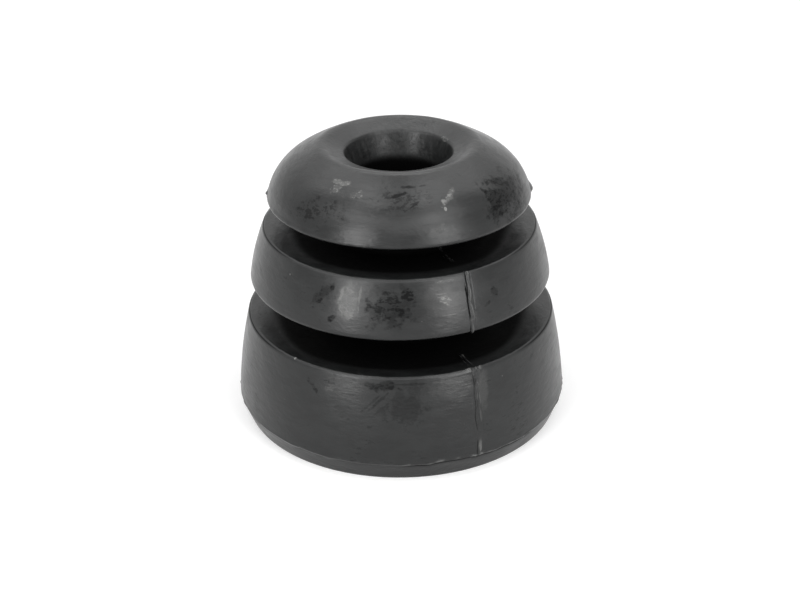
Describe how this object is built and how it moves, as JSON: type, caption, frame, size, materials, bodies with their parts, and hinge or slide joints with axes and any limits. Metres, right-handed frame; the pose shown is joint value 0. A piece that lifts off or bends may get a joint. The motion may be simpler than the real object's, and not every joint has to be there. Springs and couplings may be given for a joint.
{
  "type": "rubber buffer",
  "caption": "Moulded rubber bump buffer: stacked lobes widening to a flat foot, deep folding grooves, a domed top and a funnel into a straight bore for a damper rod.",
  "frame": {"origin": "centre of the flat underside, on the axis of the bore", "axes": "+Z along the bore, from the flat foot to the domed top; the mould's two side halves parted on the plane X = 0, so their parting marks run up the sides at -Y and +Y"},
  "size_m": [0.08, 0.08, 0.0667],
  "materials": {
    "black_rubber": "charcoal satin rubber as it comes from the mould, with dull scuffs, brushed streaks and chalky specks"
  },
  "bodies": {
    "root": {"rubber_buffer": "black_rubber"}
  },
  "joints": []
}
